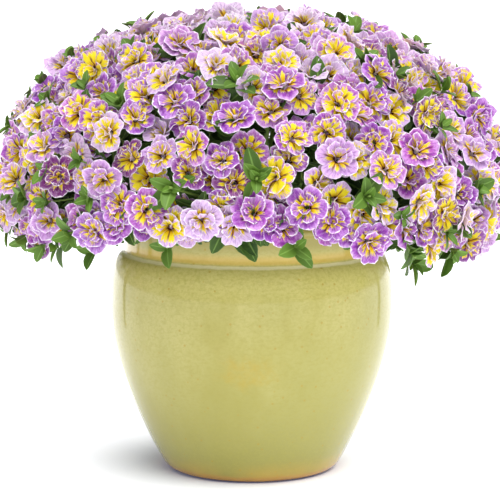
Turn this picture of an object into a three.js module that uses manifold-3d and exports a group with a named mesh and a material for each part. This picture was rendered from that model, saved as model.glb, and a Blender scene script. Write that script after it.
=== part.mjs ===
// A double-flowered calibrachoa in full bloom: a dome of flowering sprays and leafy
// stems that stand in the potting soil of a glazed pot and spill over its rim.
// Millimetres, +Z up, origin at the middle of the pot's foot.
import * as THREE from "three";
import { mergeVertices } from "three/addons/utils/BufferGeometryUtils.js";
import Module from "manifold-3d";

const { Vector2, Vector3 } = THREE;
const TAU = 2 * Math.PI;
const UP = new Vector3(0, 0, 1);

// ---------------------------------------------------------------- driving dimensions

const POT = {
  height: 206,
  footRadius: 66, // the flat ring that it stands on
  heelRadius: 72, // where the rounded foot meets the flank
  heelHeight: 6,
  bellyRadius: 113.5,
  bellyHeight: 132,
  collarRadius: 102, // the ridge that the upright collar rises from
  collarHeight: 177,
  ridge: 0.5, // how far the ridge stands out of the collar
  ridgeHeight: 4,
  lipRadius: 105,
  lipDepth: 9,
  wall: 8,
  floor: 10,
  sides: 32,
};

const DRAINS = { count: 3, radius: 7, spread: 34, sides: 6 };

const SOIL = { top: 189, crown: 4, clearance: 0.4, sides: POT.sides };

const DOME = { // the surface that the outermost flower faces lie on, a squared ellipsoid
  centre: 217,
  radius: 200,
  rise: 146,
  fall: 64,
  power: 2.4,
};

const SKIRT = { height: 188, sides: 12, lean: 6, leanTowards: -0.9 }; // its lowest flowers

const FLOWERS = {
  seed: 20263,
  tries: 9000,
  storeys: [0, -10, -18], // how far each storey of flowers lies from the dome
  topHeavy: 3, // how much likelier the outer storeys are
  spacing: [34, 26.5, 20.5], // least distance for flowers 0, 1 and 2 storeys apart
  radius: 16.9,
  openingRadius: 12.5, // the innermost ones are still opening
  smallest: 0.93,
  spread: 0.12, // how much larger than the smallest the largest is
  tilt: 0.16,
  lowestFacing: -0.3,
  neck: 2.4,
};

const SPRAYS = {
  seed: 77,
  tries: 900,
  spacing: 71,
  aboveSkirt: 3,
  focus: 250, // the height on the pot's axis that every head faces away from
  depth: 36,
  sides: 8,
  radius: 36,
  half: 9,
  bend: 130, // the radius of the curve that a head's edge droops by
  gap: 6, // from a head's edge to the plane halfway to its neighbour
  lowestLeaf: 177,
  rootRadius: 12, // as far from its middle as stalks take root
};

const SHOOTS = { seed: 4242, tries: 4000, clear: 19, spacing: 62, leaves: 3 };

const TRAILERS = {
  seed: 21,
  tries: 900,
  clear: 19,
  belowSkirt: 10,
  fromHeads: 38,
  spacing: 62,
  leaves: 3,
  pair: 0.86, // where along the stem its lower pair of leaves sits
};

const LEAF = { width: 9, keel: 2, rise: 12, riseSpread: 6, reach: 13, reachSpread: 5 };

const STEM = {
  radius: 1.8,
  slack: 0.35,
  holeDepth: 14,
  spread: 78,
  apart: 10,
  arch: 235, // as high as the stems climb that turn down over the rim
};

// ---------------------------------------------------------------- solids from rings

const kernel = await Module();
kernel.setup();
const { Manifold, Mesh } = kernel;

// Triangles between two rings of corners, walking round both at an even pace. A ring of
// one corner is a tip.
function bridge(lower, upper) {
  const faces = [];
  const at = (ring, i) => ring[i % ring.length];
  const turn = (ring, i) => (ring.length > 1 ? i / ring.length : Infinity);
  let i = 0;
  let j = 0;
  while (turn(lower, i) < 1 || turn(upper, j) < 1) {
    if (turn(lower, i + 1) <= turn(upper, j + 1)) {
      faces.push([at(lower, i), at(lower, i + 1), at(upper, j)]);
      i += 1;
    } else {
      faces.push([at(lower, i), at(upper, j + 1), at(upper, j)]);
      j += 1;
    }
  }
  return faces;
}

const centroid = (points) =>
  points.reduce((sum, p) => sum.add(p), new Vector3()).divideScalar(points.length);

// A closed solid through rings of points, each counter-clockwise seen from the last one.
function ringSolid(rings) {
  const closed = [...rings];
  if (closed[0].length > 1) closed.unshift([centroid(closed[0])]);
  if (closed.at(-1).length > 1) closed.push([centroid(closed.at(-1))]);
  let count = 0;
  const corners = closed.map((ring) => ring.map(() => count++));
  const faces = corners.slice(1).flatMap((ring, i) => bridge(corners[i], ring));
  return new Manifold(
    new Mesh({
      numProp: 3,
      vertProperties: new Float32Array(closed.flat().flatMap((p) => p.toArray())),
      triVerts: new Uint32Array(faces.flat()),
    }),
  );
}

// A solid of revolution about Z through [radius, height] corners.
function turned(profile, sides) {
  const points = profile.map(([r, z]) => new Vector2(r, z));
  const lathe = new THREE.LatheGeometry(points, sides).rotateX(Math.PI / 2);
  lathe.deleteAttribute("normal");
  lathe.deleteAttribute("uv");
  const merged = mergeVertices(lathe);
  return new Manifold(
    new Mesh({
      numProp: 3,
      vertProperties: merged.attributes.position.array,
      triVerts: new Uint32Array(merged.index.array),
    }),
  );
}

// One body out of overlapping solids, with the hollows that they enclose filled.
function fuse(solids) {
  const bodies = Manifold.union(solids).decompose();
  return bodies.reduce((a, b) => (b.volume() > a.volume() ? b : a));
}

// Two directions square to an axis, turned about it.
function acrossAxis(axis, turn) {
  const seed = Math.abs(axis.z) < 0.9 ? new Vector3(0, 0, 1) : new Vector3(1, 0, 0);
  const x = seed.cross(axis).normalize();
  const y = axis.clone().cross(x);
  return [
    x.clone().multiplyScalar(Math.cos(turn)).addScaledVector(y, Math.sin(turn)),
    y.clone().multiplyScalar(Math.cos(turn)).addScaledVector(x, -Math.sin(turn)),
  ];
}

// A ring of points round an axis. shape(i) gives a point's distance out and along.
function ringAbout(centre, axis, turn, count, shape) {
  const [x, y] = acrossAxis(axis, turn);
  return Array.from({ length: count }, (_, i) => {
    const { out, along = 0, shift = 0 } = shape(i);
    const angle = (TAU * (i + shift)) / count;
    return centre
      .clone()
      .addScaledVector(x, out * Math.cos(angle))
      .addScaledVector(y, out * Math.sin(angle))
      .addScaledVector(axis, along);
  });
}

// A triangle about a stem, its first corner always towards the same side of the plant.
function ringAlong(centre, along, radius) {
  const x = new Vector3(1, 0, 0).addScaledVector(along, -along.x).normalize();
  const y = along.clone().cross(x).normalize();
  return [0, 1, 2].map((i) =>
    centre
      .clone()
      .addScaledVector(x, radius * Math.cos((TAU * i) / 3))
      .addScaledVector(y, radius * Math.sin((TAU * i) / 3)),
  );
}

// ---------------------------------------------------------------- where everything grows

// Park and Miller's generator, so that each draw is the same on every run.
function dice(seed) {
  let state = seed;
  const roll = () => (state = (state * 16807) % 2147483647) / 2147483647;
  roll();
  roll();
  return roll;
}

// The dome's surface in the direction with this cosine to the vertical.
function domePoint(cosine, azimuth) {
  const sine = Math.sqrt(1 - cosine ** 2);
  const rise = cosine < 0 ? DOME.fall : DOME.rise;
  const reach =
    ((sine / DOME.radius) ** DOME.power + (Math.abs(cosine) / rise) ** DOME.power) **
    (-1 / DOME.power);
  return new Vector3(
    reach * sine * Math.cos(azimuth),
    reach * sine * Math.sin(azimuth),
    DOME.centre + reach * cosine,
  );
}

function domeNormal(point) {
  const out = Math.hypot(point.x, point.y);
  const up = point.z - DOME.centre;
  const rise = up < 0 ? DOME.fall : DOME.rise;
  const outward = (out / DOME.radius) ** (DOME.power - 1) / DOME.radius;
  const upward = (Math.sign(up) * (Math.abs(up) / rise) ** (DOME.power - 1)) / rise;
  return new Vector3(
    (outward * point.x) / out,
    (outward * point.y) / out,
    upward,
  ).normalize();
}

// The plant hangs lower at its sides than in front.
function skirtHeight({ x, y }) {
  const azimuth = Math.atan2(y, x);
  const sides = SKIRT.sides * Math.cos(2 * azimuth);
  return SKIRT.height - sides - SKIRT.lean * Math.cos(azimuth - SKIRT.leanTowards);
}

// Random points on the dome, kept where they suit the ones before.
function scatter({ seed, tries }, suits) {
  const lowestCosine = -0.4;
  const roll = dice(seed);
  const kept = [];
  for (let k = 0; k < tries; k++) {
    const point = domePoint(1 - (1 - lowestCosine) * roll(), TAU * roll());
    const site = { point, chance: roll(), hang: point.z - skirtHeight(point) };
    if (suits(site, kept)) kept.push(site);
  }
  return kept;
}

const apart = (site, others, gap) =>
  others.every((other) => site.point.distanceTo(other.point) >= gap);

// Each flower has a storey, a facing that strays from the dome's normal, and a size.
function placeFlowers() {
  const { storeys, spacing, tilt, smallest, spread } = FLOWERS;
  const sites = scatter(FLOWERS, (site, kept) => {
    site.storey = Math.floor(storeys.length * site.chance ** FLOWERS.topHeavy);
    const fits = (other) =>
      site.point.distanceTo(other.point) >= spacing[Math.abs(site.storey - other.storey)];
    return site.hang >= 0 && kept.every(fits);
  });
  return sites.map(({ point, storey }, index) => {
    const roll = dice(7919 * (index + 1));
    const normal = domeNormal(point);
    const stray = new Vector3(roll() - 0.5, roll() - 0.5, roll() - 0.3);
    const facing = normal.clone().addScaledVector(stray, 2 * tilt);
    facing.z = Math.max(facing.z, FLOWERS.lowestFacing);
    const opening = storey === storeys.length - 1;
    return {
      point,
      face: point.clone().addScaledVector(normal, storeys[storey]),
      facing: facing.normalize(),
      turn: TAU * roll(),
      radius: (opening ? FLOWERS.openingRadius : FLOWERS.radius) * (smallest + spread * roll()),
      opening,
      roll,
    };
  });
}

const rayThrough = (point) => point.clone().setZ(point.z - SPRAYS.focus).normalize();

const inward = (point) => point.clone().addScaledVector(rayThrough(point), -SPRAYS.depth);

// The leafy head that each spray's flowers grow from lies well inside the dome.
function placeSprays() {
  const sites = scatter(
    SPRAYS,
    (site, kept) => site.hang >= SPRAYS.aboveSkirt && apart(site, kept, SPRAYS.spacing),
  );
  return sites.map(({ point }) => ({
    point,
    ray: rayThrough(point),
    head: inward(point),
    flowers: [],
    shoots: [],
  }));
}

// Leafy shoots come up where the flowers leave room.
function placeShoots(flowers) {
  return scatter(
    SHOOTS,
    (site, kept) =>
      site.hang >= 0 &&
      apart(site, flowers, SHOOTS.clear) &&
      apart(site, kept, SHOOTS.spacing),
  );
}

// Others trail below the lowest flowers, between the sprays.
function placeTrailers(flowers, sprays) {
  return scatter(
    TRAILERS,
    (site, kept) =>
      site.hang < 0 &&
      site.hang > -TRAILERS.belowSkirt &&
      apart(site, flowers, TRAILERS.clear) &&
      apart(site, sprays, TRAILERS.fromHeads) &&
      apart(site, kept, TRAILERS.spacing),
  );
}

// The spray whose head lies nearest below a place on the dome.
function sprayUnder(point, sprays) {
  const below = inward(point);
  return sprays.reduce((best, spray) =>
    spray.head.distanceTo(below) < best.head.distanceTo(below) ? spray : best,
  );
}

// Stems stand in the soil the further out the further out they end, no two too close.
function plantStems(ends) {
  const feet = ends.map((end) => {
    const out = Math.min(1, Math.hypot(end.x, end.y) / (DOME.radius - SPRAYS.depth));
    return new Vector3(end.x, end.y, 0).setLength(STEM.spread * out);
  });
  for (let round = 0; round < 60; round++) {
    feet.forEach((a, i) =>
      feet.slice(i + 1).forEach((b) => {
        const between = b.clone().sub(a);
        const push = Math.max(0, STEM.apart - between.length()) / 2;
        b.add(between.setLength(push));
        a.sub(between);
      }),
    );
    feet.forEach((foot) => foot.clampLength(0, STEM.spread));
  }
  return feet.map((foot) => foot.setZ(SOIL.top - STEM.holeDepth + STEM.slack));
}

// ---------------------------------------------------------------- flowers, leaves, stems

// A stalk and slim tube that open into five notched lobes round a raised inner whorl.
function openFlower({ face, facing, turn, radius, roll }, root) {
  const ring = (count, shape) => ringAbout(face, facing, turn, count, shape);
  return ringSolid([
    [root],
    ring(3, () => ({ out: FLOWERS.neck, along: -10 })),
    ring(10, (i) =>
      i % 2
        ? { out: 0.74 * radius, along: -2.2 }
        : { out: radius * (0.96 + 0.06 * roll()), along: 1.6 * roll() - 0.6 },
    ),
    ring(5, () => ({ out: 0.42 * radius, along: -3.6, shift: 0.5 })),
    ring(5, () => ({ out: 0.5 * radius, along: 2 + 1.8 * roll(), shift: 0.5 })),
    [face.clone().addScaledVector(facing, -4.5)],
  ]);
}

// A cup of five lobes that haven't spread yet.
function openingFlower({ face, facing, turn, radius, roll }, root) {
  const ring = (count, shape) => ringAbout(face, facing, turn, count, shape);
  return ringSolid([
    [root],
    ring(3, () => ({ out: FLOWERS.neck, along: -11 })),
    ring(5, () => ({ out: radius, along: 2 * roll() })),
    ring(5, () => ({ out: 0.55 * radius, along: -1, shift: 0.5 })),
    [face.clone().addScaledVector(facing, -5)],
  ]);
}

// A pointed oval blade with a keel under its midrib, from its root to its tip.
function leafSolid(root, tip, under) {
  const run = tip.clone().sub(root);
  const side = under.clone().cross(run).normalize();
  const middle = root.clone().addScaledVector(run, 0.55);
  return ringSolid([
    [root],
    [
      middle.clone().addScaledVector(side, LEAF.width / 2),
      middle.clone().addScaledVector(under, LEAF.keel),
      middle.clone().addScaledVector(side, -LEAF.width / 2),
    ],
    [tip],
  ]);
}

// Leaves round the end of a shoot that points along an axis.
function leafWhorl(centre, axis, count, roll) {
  const turn = TAU * roll();
  return Array.from({ length: count }, (_, i) => {
    const [away] = acrossAxis(axis, turn + (TAU * (i + 0.3 * roll())) / count);
    const rise = LEAF.rise + LEAF.riseSpread * roll();
    const reach = LEAF.reach + LEAF.reachSpread * roll();
    const tip = centre.clone().addScaledVector(axis, rise).addScaledVector(away, reach);
    const under = away.clone().addScaledVector(axis, -rise / reach).normalize();
    return leafSolid(centre.clone().addScaledVector(axis, -STEM.radius), tip, under);
  });
}

// A shoot leaves the head under the flowers, comes up through the gap and ends in leaves.
function shootSolids({ point }, root, index) {
  const roll = dice(104729 + 611 * index);
  const normal = domeNormal(point);
  const at = (height) => point.clone().addScaledVector(normal, height);
  const middle = root.clone().lerp(point, 0.6);
  const stalk = ringSolid([[root], ringAlong(middle, normal, STEM.radius), [at(4)]]);
  return [stalk, ...leafWhorl(at(-1), normal, SHOOTS.leaves, roll)];
}

// A stem comes straight up out of the soil and leans out to its end, over the rim where
// it ends lower than that.
function stemCurve(foot, end) {
  const collar = foot.clone().setZ(SOIL.top + 2 * SOIL.crown);
  const arch = Math.max(STEM.arch, 0.5 * (SOIL.top + end.z));
  return new THREE.CubicBezierCurve3(
    collar,
    collar.clone().setZ(arch),
    collar.clone().lerp(end, 0.7).setZ(arch),
    end,
  );
}

function stemSolid(foot, curve, pieces) {
  const rings = [foot, ...curve.getPoints(pieces)].map((p, i) =>
    ringAlong(p, i < 2 ? UP : curve.getTangent((i - 1) / pieces), STEM.radius),
  );
  return ringSolid(rings);
}

// A faceted lens of packed foliage. Its edge droops with the dome and keeps to its own
// side of the planes halfway to the other heads.
function headSolid({ head, ray }, sprays) {
  const others = sprays.map((spray) => spray.head).filter((other) => other !== head);
  const clear = (p) =>
    others.every((other) => {
      const way = other.clone().sub(head);
      const far = way.length();
      return way.dot(p.clone().sub(head)) / far <= far / 2 - SPRAYS.gap;
    });
  const edge = ringAbout(head, ray, 0, SPRAYS.sides, () => ({ out: 1 })).map((p) => {
    const way = p.clone().sub(head);
    const at = (out) =>
      head.clone().addScaledVector(way, out).addScaledVector(ray, -(out ** 2) / 2 / SPRAYS.bend);
    let out = SPRAYS.radius;
    while (at(out).z < SPRAYS.lowestLeaf || !clear(at(out))) out -= 1;
    return at(out);
  });
  return ringSolid([
    [head.clone().addScaledVector(ray, -SPRAYS.half)],
    edge,
    [head.clone().addScaledVector(ray, SPRAYS.half)],
  ]);
}

// Where something that grows from a head towards a place takes root, under its surface.
function rootIn({ head, ray }, place) {
  const away = place.clone().sub(head).projectOnPlane(ray);
  return head.clone().add(away.clampLength(0, SPRAYS.rootRadius));
}

// A hole in the soil for a stem, a little wider and deeper than the stem is.
function holeSolid(foot) {
  const end = (z) => ringAlong(foot.clone().setZ(z), UP, STEM.radius + 2 * STEM.slack);
  return ringSolid([end(SOIL.top - STEM.holeDepth), end(SOIL.top + 2 * SOIL.crown)]);
}

// ---------------------------------------------------------------- pot and soil

// The outside of the pot as a curve from its heel over its belly to the collar's ridge.
const heel = new Vector2(POT.heelRadius, POT.heelHeight);
const belly = new Vector2(POT.bellyRadius, POT.bellyHeight);
const collar = new Vector2(POT.collarRadius, POT.collarHeight);
const flank = new THREE.CurvePath();
flank.add(
  new THREE.CubicBezierCurve(
    heel,
    new Vector2(heel.x + 17, heel.y + 30),
    new Vector2(belly.x, belly.y - 42),
    belly,
  ),
);
flank.add(
  new THREE.CubicBezierCurve(
    belly,
    new Vector2(belly.x, belly.y + 22),
    new Vector2(collar.x + 8, collar.y - 5),
    collar,
  ),
);

// The corners of the hollow, from its floor to its mouth, moved inward.
function hollow(inset, mouth) {
  const shift = POT.wall + inset;
  const waist = flank.getPoint(0.3);
  return [
    [heel.x - shift, POT.floor + inset],
    [waist.x - shift, waist.y],
    [belly.x - shift, belly.y],
    [collar.x - shift, collar.y + POT.wall / 2],
    [collar.x - shift, mouth],
  ];
}

function potSolid() {
  const { height, footRadius, lipRadius, lipDepth, floor, ridge, ridgeHeight } = POT;
  const body = turned(
    [
      [0, 0],
      [footRadius, 0],
      ...flank.getPoints(3).map((p) => p.toArray()),
      [collar.x - ridge, collar.y + ridgeHeight],
      [collar.x - ridge, height - lipDepth],
      [lipRadius, height - lipDepth / 2],
      [lipRadius - lipDepth / 2, height],
      ...hollow(0, height - lipDepth / 3).reverse(),
      [0, floor],
    ],
    POT.sides,
  );
  const drain = (centre) => {
    const end = (z) =>
      ringAbout(centre.clone().setZ(z), UP, 0, DRAINS.sides, () => ({ out: DRAINS.radius }));
    return ringSolid([end(-floor), end(2 * floor)]);
  };
  const centres = ringAbout(new Vector3(), UP, 0, DRAINS.count, () => ({ out: DRAINS.spread }));
  return body.subtract(Manifold.union(centres.map(drain)));
}

function soilSolid(feet) {
  const body = turned(
    [
      [0, POT.floor + SOIL.clearance],
      ...hollow(SOIL.clearance, SOIL.top),
      [0, SOIL.top + SOIL.crown],
    ],
    SOIL.sides,
  );
  return body.subtract(Manifold.union(feet.map(holeSolid)));
}

// ---------------------------------------------------------------- the model

const GLAZE = { color: 0xbdb765, roughness: 0.15, metalness: 0 };
const EARTH = { color: 0x3b2a1e, roughness: 0.95, metalness: 0 };
const PETALS = { color: 0xb48ad6, roughness: 0.6, metalness: 0 };
const FOLIAGE = { color: 0x3f7a34, roughness: 0.7, metalness: 0 };

function named(name, solid, finish) {
  const { vertProperties, triVerts } = solid.getMesh();
  const geometry = new THREE.BufferGeometry();
  geometry.setAttribute("position", new THREE.BufferAttribute(vertProperties, 3));
  geometry.setIndex(new THREE.BufferAttribute(triVerts, 1));
  geometry.computeVertexNormals();
  const mesh = new THREE.Mesh(geometry, new THREE.MeshStandardMaterial(finish));
  mesh.name = name;
  return mesh;
}

const numbered = (name, index) => name + "_" + String(index + 1).padStart(2, "0");

const flowers = placeFlowers();
const sprays = placeSprays();
const trailers = placeTrailers(flowers, sprays);
flowers.forEach((flower) => sprayUnder(flower.point, sprays).flowers.push(flower));
placeShoots(flowers).forEach((shoot) => sprayUnder(shoot.point, sprays).shoots.push(shoot));

const ends = [...sprays.map(({ head }) => head), ...trailers.map(({ point }) => point)];
const feet = plantStems(ends);

let shootCount = 0;
const sprayMeshes = sprays.map((spray, i) => {
  const blooms = spray.flowers.map((flower) => {
    const solid = flower.opening ? openingFlower : openFlower;
    return solid(flower, rootIn(spray, flower.face));
  });
  const shoots = spray.shoots.flatMap((shoot) =>
    shootSolids(shoot, rootIn(spray, shoot.point), shootCount++),
  );
  const stem = stemSolid(feet[i], stemCurve(feet[i], spray.head), 3);
  const solid = fuse([headSolid(spray, sprays), stem, ...blooms, ...shoots]);
  return named(numbered("spray", i), solid, PETALS);
});

const trailerMeshes = trailers.map(({ point }, i) => {
  const roll = dice(31337 + 97 * i);
  const foot = feet[sprays.length + i];
  const curve = stemCurve(foot, point);
  const tip = leafWhorl(point, curve.getTangent(1), TRAILERS.leaves, roll);
  const at = TRAILERS.pair;
  const pair = leafWhorl(curve.getPoint(at), curve.getTangent(at), 2, roll);
  const solid = fuse([stemSolid(foot, curve, 4), ...tip, ...pair]);
  return named(numbered("leafy_stem", i), solid, FOLIAGE);
});

const calibrachoa = new THREE.Group();
calibrachoa.add(
  named("pot", potSolid(), GLAZE),
  named("soil", soilSolid(feet), EARTH),
  ...sprayMeshes,
  ...trailerMeshes,
);
export default calibrachoa;
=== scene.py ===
# %% [markdown]
# # A double calibrachoa in full bloom, in a glazed pot
#
# A calibrachoa is a small trailing cousin of the petunia. A plant in full bloom is a dome
# of a few hundred double flowers over packed foliage, and it spills over the rim of its
# pot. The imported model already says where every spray, stem and flower is, as faceted
# solids. This script turns each of those solids into petals and leaves, and it makes the
# pot round and glazed.

import math

import bmesh
import bpy
from mathutils import Matrix, Vector, noise


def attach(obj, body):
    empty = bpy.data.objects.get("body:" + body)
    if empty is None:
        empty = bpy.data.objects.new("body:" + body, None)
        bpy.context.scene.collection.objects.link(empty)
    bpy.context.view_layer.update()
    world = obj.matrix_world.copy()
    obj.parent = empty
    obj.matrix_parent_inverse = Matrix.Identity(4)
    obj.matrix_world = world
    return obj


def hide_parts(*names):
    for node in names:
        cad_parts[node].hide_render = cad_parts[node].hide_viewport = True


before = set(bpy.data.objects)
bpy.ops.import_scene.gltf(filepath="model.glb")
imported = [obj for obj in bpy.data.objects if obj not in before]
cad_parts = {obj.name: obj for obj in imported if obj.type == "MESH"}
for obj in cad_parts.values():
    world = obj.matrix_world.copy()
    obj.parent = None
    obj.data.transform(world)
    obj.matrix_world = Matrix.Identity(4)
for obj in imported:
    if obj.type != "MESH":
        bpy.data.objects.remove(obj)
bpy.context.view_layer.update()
MM = 0.001
TAU = 2 * math.pi

# %% [markdown]
# ## Camera
#
# The camera stands almost two metres away and a little above the flowers. From so far
# off a long lens is needed, and the pot's rim and foot look nearly flat, as they do from
# across a room.


# %% How a thing gets into the scene
def in_scene(name, data):
    made = bpy.data.objects.new(name, data)
    bpy.context.scene.collection.objects.link(made)
    return made


# %% Camera
CAMERA_PLACE = Vector((-0.0013, -1.8, 0.425))
CAMERA_TARGET = Vector((-0.0013, 0, 0.1755))
SENSOR_WIDTH, LENS = 36, 162.9
camera = in_scene("camera", bpy.data.cameras.new("camera"))
camera.data.sensor_width = SENSOR_WIDTH
camera.data.lens = LENS
camera.location = CAMERA_PLACE
camera.rotation_euler = (CAMERA_TARGET - CAMERA_PLACE).to_track_quat("-Z", "Y").to_euler()
bpy.context.scene.camera = camera
print("camera", round((CAMERA_TARGET - CAMERA_PLACE).length, 2), "m from the pot")

# %% [markdown]
# ## Where everything grows
#
# The solids were placed by a seeded rule: random points on a dome are kept where they
# leave enough room for the ones before. To dress each solid exactly where it stands, the
# same rule runs here again. It uses plain numbers in lists, because Blender's own vectors
# are only single precision and a borderline point could then fall the other way.


# %% A generator that gives the same draws on every run
def dice(seed):
    state = seed

    def roll():
        nonlocal state
        state = state * 16807 % 2147483647
        return state / 2147483647

    roll()
    roll()
    return roll


# %% Every copy has dice of its own: the first seed, and the step from one to the next
SEEDS = {
    "flower": (7919, 7919),
    "lean": (6101, 6101),
    "gap flower": (3301, 3301),
    "flower shape": (50021, 911),
    "leaf shape": (60013, 701),
    "spray": (88001, 37),
    "shoot": (104729, 611),
    "shoot's leaves": (70001, 13),
    "sprig": (55001, 31),
    "trailing stem": (31337, 97),
    "trailing stem's leaves": (90001, 17),
}


def dice_for(what, index):
    first, step = SEEDS[what]
    return dice(first + step * index)


# %% Small sums on points in plain numbers, in millimetres
def plus(p, q, share=1.0):
    return [a + b * share for a, b in zip(p, q)]


def minus(p, q):
    return [a - b for a, b in zip(p, q)]


def dot(p, q):
    return sum(a * b for a, b in zip(p, q))


def unit(p):
    length = math.sqrt(dot(p, p))
    return [a / length for a in p]


def cross(p, q):
    return [
        p[1] * q[2] - p[2] * q[1],
        p[2] * q[0] - p[0] * q[2],
        p[0] * q[1] - p[1] * q[0],
    ]


def lerp(p, q, share):
    return [a + (b - a) * share for a, b in zip(p, q)]


def across_axis(axis, turn):
    """Two directions square to an axis, turned about it."""
    seed = [0, 0, 1] if abs(axis[2]) < 0.9 else [1, 0, 0]
    x = unit(cross(seed, axis))
    y = cross(axis, x)
    c, s = math.cos(turn), math.sin(turn)
    return [a * c + b * s for a, b in zip(x, y)], [b * c - a * s for a, b in zip(x, y)]


# %% The dome that the outermost flowers lie on, and the skirt that it ends at
DOME_CENTRE, DOME_RADIUS, DOME_RISE, DOME_FALL, DOME_POWER = 217, 200, 146, 64, 2.4
COSINE_SPAN = 1.4
SKIRT_HEIGHT, SKIRT_DROP_AT_SIDES, SKIRT_TILT, TILT_TURN = 188, 12, 6, 0.9


def dome_point(cosine, azimuth):
    sine = math.sqrt(1 - cosine**2)
    rise = DOME_FALL if cosine < 0 else DOME_RISE
    sides = (sine / DOME_RADIUS) ** DOME_POWER + (abs(cosine) / rise) ** DOME_POWER
    reach = sides ** (-1 / DOME_POWER)
    out = reach * sine
    return [out * math.cos(azimuth), out * math.sin(azimuth), DOME_CENTRE + reach * cosine]


def dome_normal(point):
    out = math.hypot(point[0], point[1])
    up = point[2] - DOME_CENTRE
    rise = DOME_FALL if up < 0 else DOME_RISE
    outward = (out / DOME_RADIUS) ** (DOME_POWER - 1) / DOME_RADIUS
    upward = math.copysign((abs(up) / rise) ** (DOME_POWER - 1), up) / rise
    return unit([outward * point[0] / out, outward * point[1] / out, upward])


def at_skirt(point, middle, at_sides, tilt):
    """A height that changes round the skirt: less at both sides, and least on the right."""
    azimuth = math.atan2(point[1], point[0])
    return middle - at_sides * math.cos(2 * azimuth) - tilt * math.cos(azimuth + TILT_TURN)


def skirt_height(point):
    """The plant hangs lower at its sides than in front."""
    return at_skirt(point, SKIRT_HEIGHT, SKIRT_DROP_AT_SIDES, SKIRT_TILT)


def scatter(seed, tries, suits):
    """Random points on the dome that suit. How far one hangs is its height above the skirt."""
    roll = dice(seed)
    kept = []
    for _ in range(tries):
        point = dome_point(1 - COSINE_SPAN * roll(), TAU * roll())
        site = {"point": point, "chance": roll(), "hang": point[2] - skirt_height(point)}
        if suits(site, kept):
            kept.append(site)
    return kept


def clear_of(site, *crowds):
    """Whether a site is far enough from all others, given as crowds with the gap to each."""
    return all(
        math.dist(site["point"], other["point"]) >= gap
        for others, gap in crowds
        for other in others
    )


# %% Flowers, in three storeys
STOREYS = [0, -10, -18]
SPACING = [34, 26.5, 20.5]
OPEN_RADIUS, OPENING_RADIUS = 16.9, 12.5


def flower_suits(site, kept):
    site["storey"] = math.floor(len(STOREYS) * site["chance"] ** 3)
    return site["hang"] >= 0 and all(
        math.dist(site["point"], other["point"]) >= SPACING[abs(site["storey"] - other["storey"])]
        for other in kept
    )


flowers = scatter(seed=20263, tries=9000, suits=flower_suits)
print("flowers on the solids:", len(flowers))

# %% [markdown]
# ## How the flowers are held
#
# The faceted flowers look nearly straight out of the dome. Real ones don't: they turn
# outwards and to the light, and each hangs on its stalk in a way of its own. So every
# flower gets a lean here. The lowest ones also stand a little higher than on the solids,
# so that the collar of the pot shows between them.

# %% Lift and lean
LIFT, LIFT_DROP_AT_SIDES, LIFT_TILT, LIFTED_UP_TO = 14, 5, 4, 32
OUTWARD_LEAN, SUNWARD_LEAN = 0.3, 0.28
LEAST_LEAN, MORE_LEAN = 0.2, 0.42
LOWEST_LOOK = -0.2
SUNWARD = [0, -1, 0]


def lift(site):
    """Most in front and behind, so that the pot's collar shows under the skirt."""
    most = at_skirt(site["point"], LIFT, LIFT_DROP_AT_SIDES, LIFT_TILT)
    return most * min(1, max(0, 1 - site["hang"] / LIFTED_UP_TO))


def leaned(axis, point, roll):
    """A flower looks outwards and to the light, and leans to a side of its own."""
    outward = unit([point[0], point[1], 0])
    axis = plus(axis, outward, OUTWARD_LEAN * max(0, axis[2]))
    axis = unit(plus(axis, SUNWARD, SUNWARD_LEAN))
    aside = across_axis(axis, TAU * roll())[0]
    axis = plus(axis, aside, LEAST_LEAN + MORE_LEAN * roll())
    axis[2] = max(axis[2], LOWEST_LOOK)
    return unit(axis)


# %% Set every flower of the solids
STRAY, LOWEST_FACET = 0.32, -0.3

for index, flower in enumerate(flowers):
    roll = dice_for("flower", index)
    normal = dome_normal(flower["point"])
    stray = [roll() - 0.5, roll() - 0.5, roll() - 0.3]
    facing = plus(normal, stray, STRAY)
    facing[2] = max(facing[2], LOWEST_FACET)
    flower["axis"] = leaned(unit(facing), flower["point"], dice_for("lean", index))
    flower["face"] = plus(flower["point"], normal, STOREYS[flower["storey"]])
    flower["face"][2] += lift(flower)
    flower["opening"] = flower["storey"] == 2
    flower["in_gap"] = False
    flower["turn"] = TAU * roll()
    flower["size"] = 0.93 + 0.12 * roll()
print("flowers:", len(flowers), "of them opening:", sum(f["opening"] for f in flowers))

# %% Sprays, leafy shoots between the flowers, and trailing leafy stems
FOCUS_HEIGHT, HEAD_DEPTH = 250, 36
SPRAYS_FROM, TRAILERS_FROM = 3, -10
SPRAYS_APART, SHOOTS_APART, TRAILERS_APART = 71, 62, 62
TIP_TO_FLOWER, TRAILER_TO_SPRAY = 19, 38


def ray_through(point):
    return unit([point[0], point[1], point[2] - FOCUS_HEIGHT])


def inward(point):
    return plus(point, ray_through(point), -HEAD_DEPTH)


def spray_suits(site, kept):
    return site["hang"] >= SPRAYS_FROM and clear_of(site, (kept, SPRAYS_APART))


sprays = scatter(seed=77, tries=900, suits=spray_suits)
for spray in sprays:
    spray["ray"] = ray_through(spray["point"])
    spray["head"] = inward(spray["point"])
    spray["flowers"] = []
    spray["shoots"] = []


def shoot_suits(site, kept):
    return site["hang"] >= 0 and clear_of(site, (flowers, TIP_TO_FLOWER), (kept, SHOOTS_APART))


def trailer_suits(site, kept):
    return TRAILERS_FROM < site["hang"] < 0 and clear_of(
        site, (flowers, TIP_TO_FLOWER), (sprays, TRAILER_TO_SPRAY), (kept, TRAILERS_APART)
    )


shoots = scatter(seed=4242, tries=4000, suits=shoot_suits)
trailers = scatter(seed=21, tries=900, suits=trailer_suits)


def spray_under(point):
    below = inward(point)
    return min(sprays, key=lambda spray: math.dist(spray["head"], below))


print("sprays:", len(sprays), "shoots:", len(shoots), "trailing stems:", len(trailers))

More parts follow.
